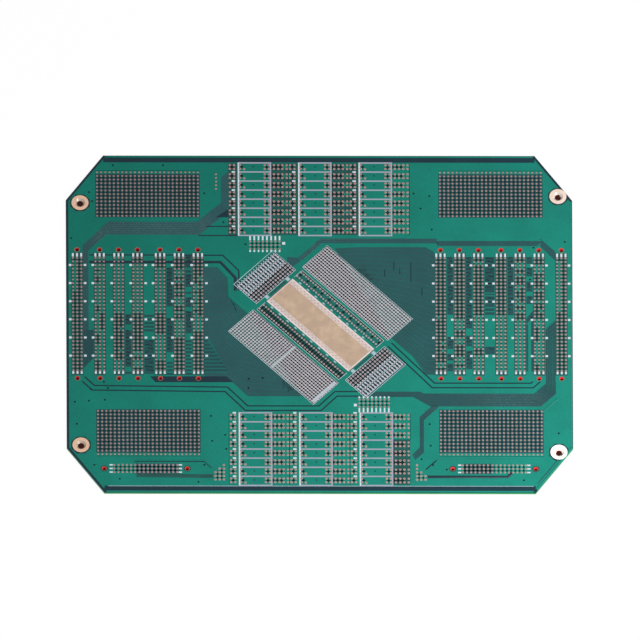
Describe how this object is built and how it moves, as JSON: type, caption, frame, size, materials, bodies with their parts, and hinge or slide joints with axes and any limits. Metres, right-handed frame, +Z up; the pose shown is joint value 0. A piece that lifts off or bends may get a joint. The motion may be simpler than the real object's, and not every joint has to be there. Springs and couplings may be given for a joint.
{
  "type": "test circuit board",
  "caption": "Bare circuit board for a test head: cut corners, countersunk collars, rows of connector lands and a diagonal contact area.",
  "frame": {"origin": "centre of the laminate's underside, on the surface that the board lies on", "axes": "+X along the long side towards the east connectors, +Y towards the back edge, +Z up through the board"},
  "size_m": [0.306, 0.236, 0.0019],
  "materials": {
    "laminate": "dark green masked glass-epoxy laminate",
    "masked_copper": "copper under green solder mask",
    "plated_land": "bare plated lands",
    "contact_plate": "satin plated contact plate",
    "legend_ink": "printed pale legend",
    "collar_metal": "bright plated collar"
  },
  "bodies": {
    "root": {"board_laminate": "laminate", "channel_frame_bottom_1": "legend_ink", "channel_frame_bottom_2": "legend_ink", "channel_frame_bottom_3": "legend_ink", "channel_frame_top_1": "legend_ink", "channel_frame_top_2": "legend_ink", "channel_frame_top_3": "legend_ink", "channel_lands_bottom": "plated_land", "channel_lands_top": "plated_land", "connector_east_1": "plated_land", "connector_east_2": "plated_land", "connector_east_3": "plated_land", "connector_east_4": "plated_land", "connector_east_5": "plated_land", "connector_east_6": "plated_land", "connector_east_7": "plated_land", "connector_west_1": "plated_land", "connector_west_2": "plated_land", "connector_west_3": "plated_land", "connector_west_4": "plated_land", "connector_west_5": "plated_land", "connector_west_6": "plated_land", "connector_west_7": "plated_land", "contact_field_northeast": "plated_land", "contact_field_southwest": "plated_land", "contact_plate": "contact_plate", "end_field_northwest": "plated_land", "end_field_southeast": "plated_land", "front_copper": "masked_copper", "header_bottom": "plated_land", "header_top": "plated_land", "land_cluster_east": "plated_land", "land_cluster_west": "plated_land", "land_grid_ne": "plated_land", "land_grid_nw": "plated_land", "land_grid_se": "plated_land", "land_grid_sw": "plated_land", "legend_end_bars": "legend_ink", "mount_collar_ne": "collar_metal", "mount_collar_nw": "collar_metal", "mount_collar_se": "collar_metal", "mount_collar_sw": "collar_metal", "plate_fingers_northeast": "contact_plate", "plate_fingers_southwest": "contact_plate", "small_connector_se": "plated_land", "small_connector_sw": "plated_land", "strip_lands_northeast": "plated_land", "strip_lands_southwest": "plated_land", "test_row_lands": "plated_land", "tracks_branch": "masked_copper", "tracks_east_fan": "masked_copper", "tracks_northeast": "masked_copper", "tracks_northwest": "masked_copper", "tracks_southeast": "masked_copper", "tracks_west_fan": "masked_copper"}
  },
  "joints": []
}
